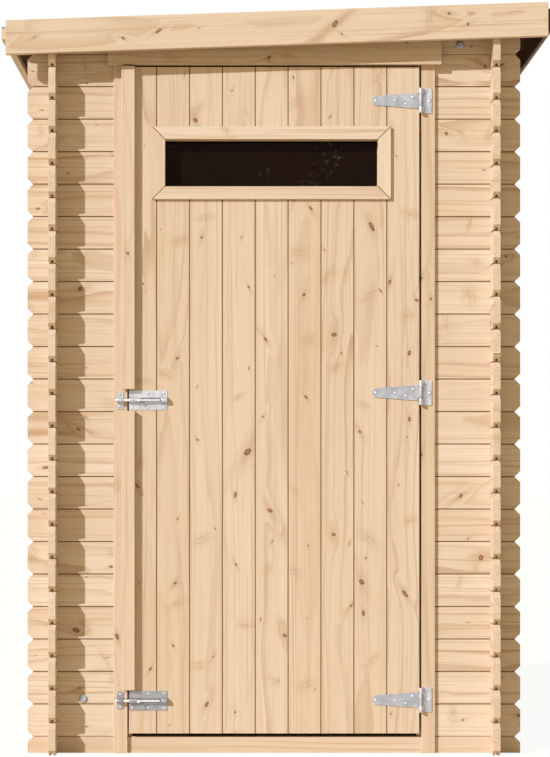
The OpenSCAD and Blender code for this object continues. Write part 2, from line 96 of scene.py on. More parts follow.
# %% A helper for node arithmetic
class Wires:
    def __init__(self, tree):
        self.tree = tree

    def node(self, kind, **settings):
        made = self.tree.nodes.new(kind)
        for key, value in settings.items():
            setattr(made, key, value)
        return made

    def plug(self, value, socket):
        if isinstance(value, bpy.types.NodeSocket):
            self.tree.links.new(value, socket)
        else:
            socket.default_value = value

    def math(self, operation, a, b=0.0):
        made = self.node("ShaderNodeMath", operation=operation)
        for value, socket in zip((a, b), made.inputs):
            self.plug(value, socket)
        return made.outputs[0]

    def add(self, a, b):
        return self.math("ADD", a, b)

    def sub(self, a, b):
        return self.math("SUBTRACT", a, b)

    def mul(self, a, b):
        return self.math("MULTIPLY", a, b)

    def vector(self, x, y, z):
        made = self.node("ShaderNodeCombineXYZ")
        for value, socket in zip((x, y, z), made.inputs):
            self.plug(value, socket)
        return made.outputs[0]

    def split(self, vector):
        made = self.node("ShaderNodeSeparateXYZ")
        self.plug(vector, made.inputs[0])
        return made.outputs[0], made.outputs[1], made.outputs[2]

    def step(self, value, low, high, out_low=0.0, out_high=1.0):
        made = self.node("ShaderNodeMapRange", interpolation_type="SMOOTHSTEP")
        for given, socket in zip((value, low, high, out_low, out_high), made.inputs):
            self.plug(given, socket)
        return made.outputs[0]

    def mix(self, amount, a, b):
        made = self.node("ShaderNodeMix", data_type="RGBA")
        self.plug(amount, made.inputs[0])
        self.plug(a, made.inputs[6])
        self.plug(b, made.inputs[7])
        return made.outputs[2]

    def noise(self, vector, scale, detail=2.0, rough=0.5):
        made = self.node("ShaderNodeTexNoise")
        self.plug(vector, made.inputs["Vector"])
        made.inputs["Scale"].default_value = scale
        made.inputs["Detail"].default_value = detail
        made.inputs["Roughness"].default_value = rough
        return made.outputs["Fac"]

    def dice(self, x, y, z):
        made = self.node("ShaderNodeTexWhiteNoise", noise_dimensions="3D")
        self.plug(self.vector(x, y, z), made.inputs["Vector"])
        return self.split(made.outputs["Color"])


print("node helper ready")


# %% [markdown]
# ## A start for every material
# Each finish begins with the same few steps: a new material, its main shader, and the place of a
# point on the piece. Most of them end with a bump, which tilts the surface by a height pattern
# too fine to model, such as fibres or grit.

# %% Begin a material and add a bump
def begin(name):
    material = bpy.data.materials.new(name)
    material.use_nodes = True
    w = Wires(material.node_tree)
    shader = material.node_tree.nodes["Principled BSDF"]
    place = w.node("ShaderNodeTexCoord").outputs["Object"]
    return material, w, shader, place


def add_bump(w, shader, height, strength, distance):
    bump = w.node("ShaderNodeBump")
    bump.inputs["Strength"].default_value = strength
    bump.inputs["Distance"].default_value = distance
    w.plug(height, bump.inputs["Height"])
    w.plug(bump.outputs[0], shader.inputs["Normal"])


def finish(node, material):
    slots = nodes[node].data.materials
    slots.clear()
    slots.append(material)


print("material helpers ready")


# %% [markdown]
# ## Knots
# Knots are branches cut across. Along each board, every stretch of a set length rolls dice for
# one knot: where it sits, how large it is, how far it leans and whether it is there at all. A
# knot has a red-brown core, a darker rim of bark, and a tan halo drawn out along the grain. The
# last result tells how far the growth rings are pushed aside around it.

# %% One layer of knots along a board
KNOT_SPREAD = 0.074
HALO_PULL, SWIRL_PULL = -0.22, -0.10


def knot_layer(w, along, across, board, layer, spacing, small, large, chance):
    shift = w.dice(board, layer, 3.7)[0]
    cell = w.math("FLOOR", w.add(w.math("DIVIDE", along, spacing), shift))
    a, b, c = w.dice(cell, board, layer)
    d, e, f = w.dice(cell, board, layer + 11.3)
    centre = w.mul(w.sub(w.add(cell, w.add(0.25, w.mul(a, 0.5))), shift), spacing)
    du = w.sub(along, centre)
    lean = w.mul(du, w.mul(w.sub(e, 0.5), 1.3))
    dv = w.sub(w.sub(across, w.mul(w.sub(b, 0.5), KNOT_SPREAD)), lean)
    ragged = w.noise(w.vector(w.mul(along, 260.0), w.mul(across, 260.0), board), 1.0, 2.0)
    stretch = w.add(0.8, w.mul(w.mul(f, f), 1.5))
    radius = w.add(small, w.mul(w.mul(c, w.mul(c, c)), large - small))
    flat = w.math("DIVIDE", du, stretch)
    reach = w.math("SQRT", w.add(w.mul(flat, flat), w.mul(dv, dv)))
    k = w.add(w.math("DIVIDE", reach, radius), w.mul(w.sub(ragged, 0.5), 0.55))
    there = w.math("LESS_THAN", d, chance)
    core = w.mul(there, w.step(k, 1.15, 0.60))
    rim = w.mul(there, w.mul(w.step(k, 0.40, 0.85), w.step(k, 1.30, 0.95)))
    around = w.add(w.mul(w.mul(du, du), 0.10), w.mul(dv, dv))
    around = w.math("DIVIDE", around, w.mul(radius, radius))
    halo = w.mul(there, w.math("EXPONENT", w.mul(around, HALO_PULL)))
    swirl = w.mul(there, w.math("EXPONENT", w.mul(around, SWIRL_PULL)))
    return core, rim, halo, w.mul(swirl, radius)


print("knot recipe ready")


# %% [markdown]
# ## Branches just under the surface
# Where the saw passed just above a branch, the board shows only a faint tan cloud that lies
# across the grain. It is drawn like a knot, as a leaning oval that fades out, but it is broken
# into soft lines by a stretched noise and has no core.

# %% Tan clouds
CLOUD_SPACING = 0.30
CLOUD_SPREAD = 0.060


def buried_layer(w, along, across, board, chance):
    shift = w.dice(board, 9.1, 1.7)[0]
    cell = w.math("FLOOR", w.add(w.math("DIVIDE", along, CLOUD_SPACING), shift))
    a, b, c = w.dice(cell, board, 17.0)
    d, e, f = w.dice(cell, board, 23.5)
    centre = w.mul(w.sub(w.add(cell, w.add(0.25, w.mul(a, 0.5))), shift), CLOUD_SPACING)
    dv = w.sub(across, w.mul(w.sub(b, 0.5), CLOUD_SPREAD))
    du = w.sub(w.sub(along, centre), w.mul(dv, w.mul(w.sub(c, 0.5), 1.4)))
    tall = w.math("DIVIDE", du, w.add(0.008, w.mul(e, 0.011)))
    wide = w.math("DIVIDE", dv, w.add(0.012, w.mul(f, 0.014)))
    body = w.math("EXPONENT", w.mul(w.add(w.mul(tall, tall), w.mul(wide, wide)), -0.9))
    lines = w.noise(w.vector(w.mul(du, 260.0), w.mul(dv, 50.0), board), 1.0, 3.0, 0.6)
    there = w.math("LESS_THAN", d, chance)
    return w.mul(there, w.mul(body, w.step(lines, 0.28, 0.62)))


print("cloud recipe ready")


# %% [markdown]
# ## Growth rings
# A board is a slice out of a tree, so its grain is the set of growth rings cut open. The recipe
# measures how far a point lies from the heart of the tree, an imagined line that runs along the
# board and wanders a little. Dividing that distance by a ring's width gives the rings: straight
# lines where the cut is steep, and long arches where it only grazes them. The same solid pattern
# shows as curved lines on the sawn ends, as real rings do.
#
# Only the narrow band of late wood in each ring is dark. Some years draw it more strongly than
# others, and hair-thin lines run between the rings.

# %% Rings from the distance to the heart
def growth_rings(w, along, across, through, slid, board, push):
    to_side, depth_roll, width_roll = w.dice(board, 1.1, 0.3)
    wander = w.sub(w.noise(w.vector(w.mul(slid, 0.9), board, 0.0), 1.0, 1.0), 0.5)
    sink = w.vector(w.mul(slid, 0.7), w.add(board, 31.0), 4.0)
    depth = w.sub(w.noise(sink, 1.0, 2.0), 0.5)
    wave = w.vector(w.mul(slid, 3.5), w.mul(across, 26.0), w.mul(through, 26.0))
    ripple = w.sub(w.noise(wave, 1.0, 3.0), 0.5)
    heart = w.add(w.mul(w.sub(to_side, 0.5), 0.130), w.mul(wander, 0.030))
    away = w.add(w.add(0.012, w.mul(depth_roll, 0.045)), w.mul(depth, 0.034))
    dv = w.sub(across, heart)
    dt = w.add(through, away)
    reach = w.math("SQRT", w.add(w.mul(dv, dv), w.mul(dt, dt)))
    reach = w.add(w.add(reach, w.mul(ripple, 0.0036)), w.mul(push, 0.8))
    width = w.add(0.0032, w.mul(width_roll, 0.0034))
    turns = w.math("DIVIDE", reach, width)
    rings = w.math("FRACT", turns)
    year = w.dice(w.math("FLOOR", turns), board, 6.6)[0]
    late = w.mul(w.step(rings, 0.58, 0.92), w.step(rings, 1.0, 0.94))
    faint = w.noise(w.vector(w.mul(slid, 1.2), w.mul(across, 26.0), 8.0), 1.0, 2.0)
    fade = w.step(faint, 0.30, 0.70, 0.25, 1.0)
    drawn = w.mul(w.mul(late, fade), w.add(0.35, w.mul(year, 0.85)))
    thin = w.add(w.mul(across, 230.0), w.mul(wander, 12.0))
    hair = w.noise(w.vector(w.mul(slid, 1.1), thin, w.mul(through, 230.0)), 1.0, 2.0, 0.7)
    return w.math("MAXIMUM", drawn, w.mul(w.step(hair, 0.55, 0.68), 0.80))


print("ring recipe ready")


# %% [markdown]
# ## One node group for all the pine
# Every pine material shares one group, so the figure is worked out in one place. It takes a
# point's place along, across and through its board, and the board's number. It returns the
# rings, a slow change of tone with its streaks, the fine fibres, the knots and the clouds. Two
# layers of knots are laid over each other: a few large ones and many pin knots.

# %% The pine group
BIG_KNOTS = (0.42, 0.0034, 0.0085)
PIN_KNOTS = (0.19, 0.0015, 0.0042)


def make_pine_group():
    tree = bpy.data.node_groups.new("pine_figure", "ShaderNodeTree")
    for way, names in (("INPUT", ("Along", "Across", "Through", "Board", "Seed", "Knots")),
                       ("OUTPUT", ("Ring", "Tone", "Fibre", "Core", "Rim", "Halo", "Cloud"))):
        for name in names:
            tree.interface.new_socket(name, in_out=way, socket_type="NodeSocketFloat")
    w = Wires(tree)
    given = w.node("NodeGroupInput").outputs
    out = w.node("NodeGroupOutput").inputs
    u, v, t, knots = given["Along"], given["Across"], given["Through"], given["Knots"]
    board = w.add(w.mul(given["Board"], 1.37), given["Seed"])
    slide, tone = w.dice(board, 5.9, 2.3)[:2]
    slid = w.add(u, w.mul(slide, 40.0))

    big = knot_layer(w, u, v, board, 1.0, *BIG_KNOTS, w.mul(knots, 0.55))
    pin = knot_layer(w, u, v, board, 2.0, *PIN_KNOTS, w.mul(knots, 0.50))
    w.plug(growth_rings(w, u, v, t, slid, board, w.add(big[3], pin[3])), out["Ring"])
    w.plug(w.math("MAXIMUM", big[0], pin[0]), out["Core"])
    w.plug(w.math("MAXIMUM", big[1], pin[1]), out["Rim"])
    w.plug(w.math("MAXIMUM", big[2], w.mul(pin[2], 0.7)), out["Halo"])
    w.plug(buried_layer(w, u, v, board, w.mul(knots, 0.42)), out["Cloud"])

    streak = w.noise(w.vector(slid, w.mul(v, 62.0), w.mul(t, 62.0)), 1.0, 3.0, 0.55)
    spread = w.vector(w.mul(slid, 1.3), w.mul(v, 13.0), w.mul(t, 13.0))
    patch = w.noise(spread, 1.0, 3.0, 0.55)
    mottle = w.add(w.mul(w.sub(streak, 0.5), 0.8), w.mul(w.sub(patch, 0.5), 0.6))
    w.plug(w.add(w.mul(w.sub(tone, 0.5), 0.42), mottle), out["Tone"])
    fibre = w.vector(w.mul(slid, 9.0), w.mul(v, 420.0), w.mul(t, 420.0))
    w.plug(w.noise(fibre, 1.0, 2.0), out["Fibre"])
    return tree


pine_group = make_pine_group()
print("pine group nodes:", len(pine_group.nodes))


# %% [markdown]
# ## Which way the boards run
# Each piece needs to know which way its grain runs and how wide its boards are. A wall of logs is
# one piece of the part, so the log's number comes from its height, and each number gets its own
# tree. `start` is the line from which the place across a single board is measured, or the first
# joint of a row. A fascia follows the fall of the roof, so its line slopes too.

# %% Places on a board
AXES = {"X": 0, "Y": 1, "Z": 2}


def board_places(w, xyz, along, across, pitch, start, slope):
    through = (set(AXES) - {along, across}).pop()
    u, v, t = (xyz[AXES[axis]] for axis in (along, across, through))
    if slope:
        v = w.sub(v, w.mul(u, slope))
    if not pitch:
        return u, w.sub(v, start), t, 0.0
    turn = w.math("DIVIDE", w.sub(v, start), pitch)
    number = w.math("FLOOR", turn)
    return u, w.mul(w.sub(w.sub(turn, number), 0.5), pitch), t, number


print("board places ready")


# %% [markdown]
# ## The colours of pine
# Fresh pine is pale: cream to honey spring wood, browner summer wood in the rings, and red-brown
# knots with a darker rim. Each pattern of the group is laid over the last one, from the broad
# tone down to the small rims. `pale` moves a board towards cream.

# %% Pine colours
SPRING = (0.680, 0.546, 0.428, 1)
SUMMER = (0.440, 0.275, 0.150, 1)
HONEY = (0.585, 0.428, 0.280, 1)
CREAM = (0.745, 0.638, 0.530, 1)
KNOT = (0.350, 0.165, 0.090, 1)
KNOT_RIM = (0.105, 0.034, 0.022, 1)
GROOVE = (0.235, 0.125, 0.052, 1)
DULL = (0.300, 0.190, 0.095, 1)
# The near-black tone is painted shade on the inner side of the right eave board, and the colour of
# the roof boards.
NEAR_BLACK = (0.040, 0.022, 0.014, 1)


def pine_colour(w, figure, pale, contrast):
    tone = w.sub(figure["Tone"], pale)
    base = w.mix(w.step(tone, -0.05, 0.60), SPRING, HONEY)
    base = w.mix(w.mul(w.step(tone, 0.00, -0.50), 0.8), base, CREAM)
    base = w.mix(w.mul(figure["Ring"], 0.58 * contrast), base, SUMMER)
    base = w.mix(w.mul(w.step(figure["Fibre"], 0.50, 0.80), 0.16), base, SUMMER)
    base = w.mix(w.mul(figure["Halo"], 0.46), base, SUMMER)
    base = w.mix(w.mul(figure["Cloud"], 0.55), base, SUMMER)
    base = w.mix(w.mul(figure["Core"], 0.88), base, KNOT)
    return w.mix(w.mul(figure["Rim"], 0.72), base, KNOT_RIM)


print("pine colours ready")


# %% [markdown]
# ## Lines between boards
# Dust and shade darken the thin groove where two boards meet, and the 45 degree mitre where two
# trim pieces meet at a window corner. The solids have the real gap, but it is narrower than a
# millimetre, so the darkened wood beside it is painted in. One more recipe paints shade on the
# inner side of a board and leaves its outer side bare.

# %% Grooves, mitres and the painted shade on one side
GROOVE_HALF = 0.0013
MITRE_LENGTH = 0.038


def groove_lines(w, base, across, pitch):
    edge = w.sub(pitch / 2, w.math("ABSOLUTE", across))
    line = w.step(edge, GROOVE_HALF * 1.8, GROOVE_HALF * 0.7)
    return w.mix(w.mul(line, 0.88), base, GROOVE)


def mitre_lines(w, base, xyz, corners):
    for corner_x, corner_z, side_x, side_z in corners:
        run = w.mul(w.sub(xyz[0], corner_x), side_x)
        rise = w.mul(w.sub(xyz[2], corner_z), side_z)
        off = w.math("ABSOLUTE", w.sub(run, rise))
        close = w.math("LESS_THAN", run, MITRE_LENGTH)
        line = w.mul(w.step(off, 0.0026, 0.0012), close)
        base = w.mix(w.mul(line, 0.85), base, GROOVE)
    return base


# This darkens the inner side of a board with painted shade.
def painted_shade_inside(w, base, xyz, level, width):
    inner = w.step(xyz[0], level + width, level - width)
    return w.mix(w.mul(inner, 0.90), base, NEAR_BLACK)


print("line recipes ready")


# %% [markdown]
# ## The pine material
# The finish puts these together: places on the board, the shared figure, its colours, then the
# lines. `dull` lays a flat tone over boards that are handled, in the shade or stained. Late wood
# is harder and a little shinier, and rings, fibres and knots stand up slightly.

# %% Pine
def pine(name, along, across, pitch=None, start=0.0, seed=0.0, slope=0.0, knots=1.0,
         dull=0.0, dull_colour=DULL, contrast=1.0, gloss=0.12, pale=0.0,
         mitre=(), inside=None):
    material, w, shader, place = begin(name)
    xyz = w.split(place)
    u, v, t, number = board_places(w, xyz, along, across, pitch, start, slope)
    group = w.node("ShaderNodeGroup", node_tree=pine_group)
    for value, key in ((u, "Along"), (v, "Across"), (t, "Through"), (number, "Board"),
                       (seed, "Seed"), (knots, "Knots")):
        w.plug(value, group.inputs[key])
    figure = group.outputs
    base = pine_colour(w, figure, pale, contrast)
    if dull:
        base = w.mix(dull, base, dull_colour)
    if inside:
        base = painted_shade_inside(w, base, xyz, *inside)
    base = mitre_lines(w, base, xyz, mitre)
    if pitch:
        base = groove_lines(w, base, v, pitch)
    w.plug(base, shader.inputs["Base Color"])
    w.plug(w.add(0.52, w.mul(figure["Ring"], -0.10)), shader.inputs["Roughness"])
    shader.inputs["Specular IOR Level"].default_value = gloss
    height = w.add(w.mul(figure["Ring"], 0.5), w.mul(figure["Fibre"], 0.5))
    add_bump(w, shader, w.add(height, w.mul(figure["Core"], 0.6)), 0.22, 0.0006)
    return material


print("pine recipe ready")


# %% [markdown]
# ## Pine for the walls
# The logs of the front and back walls lie along X and those of the side walls along Y. The corners
# interlock because the two directions are half a log apart: the side walls' rows start at the
# ground, and the others start half a log up. Each wall has its own seed, so that no two repeat.

# %% Walls
finish("front_sill_log", pine("pine_sill", "X", "Z", start=0.02, seed=3.1, knots=0.5))
front_logs = pine("pine_front_logs", "X", "Z", LOG_H, LOG_H / 2, 11.0, contrast=1.25, pale=0.22)
finish("front_wall_left", front_logs)
finish("front_wall_right", front_logs)
finish("front_wall_head", pine("pine_head_log", "X", "Z", start=1.936, seed=19.4))
for node, name, along, start, seed in (
        ("back_wall", "pine_back_logs", "X", LOG_H / 2, 61.0),
        ("left_wall", "pine_left_logs", "Y", 0.0, 27.0),
        ("right_wall", "pine_right_logs", "Y", 0.0, 44.0)):
    finish(node, pine(name, along, "Z", LOG_H, start, seed, contrast=1.25, pale=0.15))
print("walls finished")


# %% [markdown]
# ## Pine for the door frame and the roof edge
# Posts and rails are single planed boards, picked with few knots. The fascias have as many as the
# walls, and they fall with the roof.

# %% Frame and fascias
for node, name, along, across, start, seed, knots in (
        ("left_jamb", "pine_left_post", "Z", "X", WALL_X - 0.415, 71.0, 0.3),
        ("right_jamb", "pine_right_post", "Z", "X", WALL_X + 0.417, 75.0, 0.3),
        ("frame_head", "pine_head_rail", "X", "Z", 1.88, 77.0, 0.3),
        ("lintel_board", "pine_lintel", "X", "Z", 1.90, 79.5, 0.5),
        ("left_eave_board", "pine_left_eave", "Y", "Z", 1.95, 87.0, 1.0)):
    finish(node, pine(name, along, across, start=start, seed=seed, knots=knots))
for node, seed in (("front_fascia", 83.2), ("back_fascia", 85.7)):
    finish(node, pine("pine_" + node, "X", "Z", start=1.944, seed=seed, slope=ROOF_SLOPE,
                      knots=1.1, contrast=1.3, pale=0.30))
print("frame and fascias finished")


# %% [markdown]
# ## Pine for the roof and the floor
# The roof boards are coloured nearly black and have no shine. The right eave board is bare
# outside, its inner side is darkened with painted shade, and the change lies near its
# mid-thickness. Floor boards and bearers are a shade duller than the walls.

# %% Roof and floor
eave = [Vector(corner).x for corner in nodes["right_eave_board"].bound_box]
eave_middle = (min(eave) + max(eave)) / 2
# The inner side of this board is darkened with painted shade.
finish("right_eave_board", pine("pine_right_eave", "Y", "Z", start=1.95, seed=89.0,
                                inside=(eave_middle + 0.003, 0.002)))
finish("roof_boards", pine("dark_roof_boards", "Y", "X", ROOF_BOARD, ROOF_X0, 93.0,
                           dull=0.93, dull_colour=NEAR_BLACK, gloss=0.0))
finish("roof_purlin", pine("pine_purlin", "X", "Z", start=1.90, seed=95.0,
                           slope=ROOF_SLOPE, dull=0.1))
finish("floor_boards", pine("pine_floor", "X", "Y", FLOOR_BOARD, FLOOR_Y0, 97.0, dull=0.12))
finish("floor_bearers", pine("pine_bearers", "Y", "X", seed=99.0, dull=0.25))
print("roof and floor finished")


# %% [markdown]
# ## Pine for the door
# The door's boards stand upright, with more knots than the frame. The two boards at the ends of
# the window are a piece of their own but share the material, so the figure runs through. The
# ledges cross behind them, and two battens cover the closing edge.

# %% Door boards, ledges and battens
door_pine = pine("pine_door_boards", "Z", "X", DOOR_BOARD, DOOR_X0 + DOOR_FIRST, 131.0, knots=1.25)
finish("door_boards", door_pine)
finish("window_side_boards", door_pine)
finish("door_ledges", pine("pine_ledges", "X", "Z", 0.9, 0.0, 141.0, dull=0.05))
batten = pine("pine_batten", "Z", "X", start=DOOR_X0, seed=145.0, knots=0.3)
finish("cover_batten_upper", batten)
finish("cover_batten_lower", batten)
print("door finished")


# %% [markdown]
# ## Pine for the window trim
# Four flat strips frame the window, mitred at the corners. Their outer corners come from the
# pieces' own boxes, and a mitre line starts at each corner and runs inwards.

# %% Window trim and inner frame
trim = [Vector(corner) for node in ("window_trim_top", "window_trim_bottom")
        for corner in nodes[node].bound_box]
x0, x1 = min(c.x for c in trim), max(c.x for c in trim)
z0, z1 = min(c.z for c in trim), max(c.z for c in trim)
mitres = [(x0, z0, 1, 1), (x1, z0, -1, 1), (x0, z1, 1, -1), (x1, z1, -1, -1)]
for node, along, across, start, seed in (("window_trim_top", "X", "Z", z1, 151.0),
                                         ("window_trim_bottom", "X", "Z", z0, 153.0),
                                         ("window_trim_left", "Z", "X", x0, 155.0),
                                         ("window_trim_right", "Z", "X", x1, 157.0)):
    finish(node, pine("pine_" + node, along, across, start=start, seed=seed, knots=0.15,
                      mitre=mitres, pale=0.15))
finish("window_frame_inner", pine("pine_window_frame", "X", "Z", start=1.60, seed=159.0,
                                  knots=0.2))
print("window trim", round(x1 - x0, 3), "by", round(z1 - z0, 3))


# %% [markdown]
# ## Softened edges
# Planed boards have lightly rounded arrises that catch the light. The solids come in with sharp
# corners and loose triangles, so a Weld modifier joins the triangles first and a Bevel modifier
# rounds the edges. Modifiers leave the solid's own mesh as it is.

# %% Round the edges of boards and posts
BOARD_EDGE = 0.0016
TRIM_EDGE = 0.0012
METAL_EDGE = 0.0004


def soften(name, width, segments=3):
    piece = nodes[name]
    weld = piece.modifiers.new("join_triangles", "WELD")
    weld.merge_threshold = 0.00001
    bevel = piece.modifiers.new("soft_edges", "BEVEL")
    bevel.width = width
    bevel.segments = segments
    bevel.limit_method = "ANGLE"
    bevel.angle_limit = math.radians(35)
    bevel.harden_normals = False


for name in ("left_jamb", "right_jamb", "lintel_board", "front_fascia", "back_fascia",
             "left_eave_board", "right_eave_board", "cover_batten_upper", "cover_batten_lower",
             "roof_purlin", "frame_head", "door_ledges", "floor_bearers"):
    soften(name, BOARD_EDGE)
for name in ("window_trim_top", "window_trim_bottom", "window_trim_left", "window_trim_right",
             "window_frame_inner"):
    soften(name, TRIM_EDGE)
print("edges softened")


# %% [markdown]
# ## Zinc-plated steel
# The hinges and bolts are pressed steel with a bright zinc coat. Zinc is a metal, so its colour
# tints its reflections, and a broad roughness spreads them. Cloudy patches in colour and
# roughness show where the bath left the coat thicker.

# %% Zinc material
def make_zinc(name, dull_spot, bright_spot, rough=0.56):
    material, w, shader, place = begin(name)
    cloud = w.noise(place, 38.0, 3.0, 0.6)
    colour = w.mix(w.step(cloud, 0.3, 0.7), dull_spot, bright_spot)
    w.plug(colour, shader.inputs["Base Color"])
    w.plug(w.add(rough, w.mul(cloud, 0.12)), shader.inputs["Roughness"])
    shader.inputs["Metallic"].default_value = 0.85
    add_bump(w, shader, w.noise(place, 900.0, 2.0), 0.15, 0.0002)
    return material


zinc = make_zinc("zinc_plate", (0.375, 0.374, 0.388, 1), (0.515, 0.512, 0.530, 1))
# The fresh coat, lighter than the plain one, also serves as painted light on the hinge plates.
fresh_and_lightened_zinc = make_zinc("zinc_fresh_and_lightened", (0.470, 0.467, 0.480, 1), (0.640, 0.635, 0.650, 1))
worn_zinc = make_zinc("zinc_worn", (0.310, 0.307, 0.312, 1), (0.430, 0.425, 0.432, 1))
bright_zinc = make_zinc("zinc_screw", (0.600, 0.598, 0.610, 1), (0.720, 0.716, 0.728, 1), 0.45)
rod_zinc = make_zinc("zinc_rod", (0.760, 0.755, 0.760, 1), (0.860, 0.855, 0.860, 1), 0.36)
# The dimple coat is painted shade, for the dark ring round each screw head.
shade_ring_zinc = make_zinc("zinc_shade_ring", (0.200, 0.195, 0.200, 1), (0.300, 0.290, 0.295, 1))
print("zinc coats:", sum(1 for made in bpy.data.materials if made.name.startswith("zinc")))


# %% [markdown]
# ## Which coat goes where
# The coats differ with age and use. The sliding rods are rubbed bright, the upper bolt looks
# fresh, and the lower bolt, which the rain splashes, has gone grey. The hinge plates get the same
# lighter coat as painted light, which lifts the shade that each knuckle casts on its plate.

# %% Hinges, bolts and tie bolts
# On the hinge plates the lighter coat is painted light.
COATS = {"hinge_plate": fresh_and_lightened_zinc, "bolt_rod": rod_zinc,
         "bolt_housing_upper": fresh_and_lightened_zinc, "keeper_upper": fresh_and_lightened_zinc,
         "bolt_housing_lower": worn_zinc, "keeper_lower": worn_zinc}
metal_nodes = [name for name in nodes if name.startswith(("hinge", "keeper", "bolt", "coach"))]
for name in metal_nodes:
    coats = [coat for start, coat in COATS.items() if name.startswith(start)]
    finish(name, coats[0] if coats else zinc)
    soften(name, METAL_EDGE, 2)
print("steel pieces:", len(metal_nodes))


# %% [markdown]
# ## Window glass
# The pane is clear float glass with a dark shed behind it. The dark inside is painted into the
# pane as a near-black colour, under a smooth, weak mirror. A few wiped smudges, where a cloth
# dried, are paler and rougher.

# %% Glass
def make_glass():
    material, w, shader, place = begin("window_pane")
    smear = w.noise(place, 9.0, 3.0)
    # The near-black colour is painted shade for the dark inside of the shed.
    colour = w.mix(smear, (0.0080, 0.0028, 0.0012, 1), (0.0130, 0.0050, 0.0022, 1))
    cloud = w.step(w.noise(place, 5.0, 2.0), 0.52, 0.66)
    wiped = w.mul(cloud, w.step(w.noise(place, 85.0, 4.0, 0.6), 0.50, 0.75))
    colour = w.mix(w.mul(wiped, 0.45), colour, (0.110, 0.090, 0.085, 1))
    w.plug(colour, shader.inputs["Base Color"])
    w.plug(w.add(0.06, w.mul(wiped, 0.4)), shader.inputs["Roughness"])
    shader.inputs["Specular IOR Level"].default_value = 0.05
    shader.inputs["Alpha"].default_value = 0.97
    return material


finish("window_glass", make_glass())
print("glass finished")


# %% [markdown]
# ## Roofing felt
# Roofing felt is tar cloth pressed full of stone grit: a grey-green speckle at about a
# millimetre, rough and matt. It comes in strips, so the tone changes a little from strip to strip
# and a dark line marks each lap.

# %% Felt
FELT_STRIP = 0.46


def make_felt():
    material, w, shader, place = begin("mineral_felt")
    grit = w.node("ShaderNodeTexVoronoi")
    w.plug(place, grit.inputs["Vector"])
    grit.inputs["Scale"].default_value = 650.0
    patch = w.noise(place, 5.0, 4.0)
    speck = w.split(grit.outputs["Color"])[0]
    colour = w.mix(speck, (0.090, 0.096, 0.090, 1), (0.300, 0.310, 0.290, 1))
    colour = w.mix(w.mul(patch, 0.4), colour, (0.170, 0.172, 0.160, 1))
    run = w.math("DIVIDE", w.split(place)[0], FELT_STRIP)
    strip = w.math("FLOOR", run)
    lap = w.mul(w.step(w.math("FRACT", run), 0.010, 0.004), 0.75)
    shade = w.add(0.72, w.mul(w.dice(strip, 4.0, 1.0)[0], 0.25))
    colour = w.mix(shade, (0.080, 0.084, 0.078, 1), colour)
    colour = w.mix(lap, colour, (0.020, 0.021, 0.020, 1))
    w.plug(colour, shader.inputs["Base Color"])
    shader.inputs["Roughness"].default_value = 0.93
    add_bump(w, shader, grit.outputs["Distance"], 0.6, 0.0008)
    return material


finish("roof_felt", make_felt())
print("felt finished")


# %% [markdown]
# ## A screw head
# Small domed screws hold the hinges and bolts. One head is a disc that is inset and pulled up
# twice into a dome, then a star-shaped recess is pushed into its middle for the driver. The
# underside is closed with a flat face.

# %% One screw head
FACING_FRONT = Matrix.Rotation(math.radians(90), 4, "X")


def add_screw(bm, centre, radius, spin):
    before = set(bm.verts)
    made = bmesh.ops.create_circle(bm, cap_ends=True, segments=16, radius=radius)
    face = made["verts"][0].link_faces[0]
    face = bmesh.ops.extrude_discrete_faces(bm, faces=[face])["faces"][0]
    bmesh.ops.translate(bm, verts=face.verts, vec=(0, 0, radius * 0.16))
    for inset, lift in ((0.22, 0.14), (0.26, 0.07)):
        bmesh.ops.inset_region(bm, faces=[face], thickness=radius * inset, use_even_offset=True)
        bmesh.ops.translate(bm, verts=face.verts, vec=(0, 0, radius * lift))
    bmesh.ops.inset_region(bm, faces=[face], thickness=radius * 0.06, use_even_offset=True)
    middle = face.calc_center_median()
    for i, vert in enumerate(face.verts):
        if i % 4:
            vert.co = middle + (vert.co - middle) * (0.50 if i % 4 == 2 else 0.66)
    bmesh.ops.inset_region(bm, faces=[face], thickness=radius * 0.02, depth=-radius * 0.22)
    new = [vert for vert in bm.verts if vert not in before]
    open_edges = {edge for vert in new for edge in vert.link_edges if edge.is_boundary}
    bmesh.ops.edgeloop_fill(bm, edges=list(open_edges))
    turn = FACING_FRONT @ Matrix.Rotation(spin, 4, "Z")
    bmesh.ops.transform(bm, matrix=Matrix.Translation(centre) @ turn, verts=new)


print("screw recipe ready")


# %% [markdown]
# ## A ring of painted shade round a screw
# The plates are pressed in around each hole, and the shadow in that hollow is painted as a thin
# dark ring. The ring is a circle of edges pulled inwards into a band, which is then given a
# thickness, so that it is a closed washer just proud of the plate.

# %% One ring of painted shade
def add_shade_ring(bm, centre, radius):
    before = set(bm.verts)
    made = bmesh.ops.create_circle(bm, cap_ends=False, segments=20, radius=radius * 1.28)
    edges = list({edge for vert in made["verts"] for edge in vert.link_edges})
    grown = bmesh.ops.extrude_edge_only(bm, edges=edges)["geom"]
    inner = [item for item in grown if isinstance(item, bmesh.types.BMVert)]
    bmesh.ops.scale(bm, verts=inner, vec=(0.70, 0.70, 1.0))
    bmesh.ops.translate(bm, verts=inner, vec=(0, 0, radius * 0.02))
    ring = list({face for vert in inner for face in vert.link_faces})
    bmesh.ops.solidify(bm, geom=ring, thickness=0.0001)
    new = [vert for vert in bm.verts if vert not in before]
    # The ring takes the second slot, the coat of painted shade.
    for face in {face for vert in new for face in vert.link_faces}:
        face.material_index = 1
    place = Matrix.Translation(centre + Vector((0, -0.0002, 0))) @ FACING_FRONT
    bmesh.ops.transform(bm, matrix=place, verts=new)


print("dimple recipe ready")


# %% [markdown]
# ## All the screws on one body
# All the heads on one body are joined into a single piece that rides with it: one turns with the
# door, and one stays with the frame. Each head is turned by a different amount, as a hand leaves
# them.

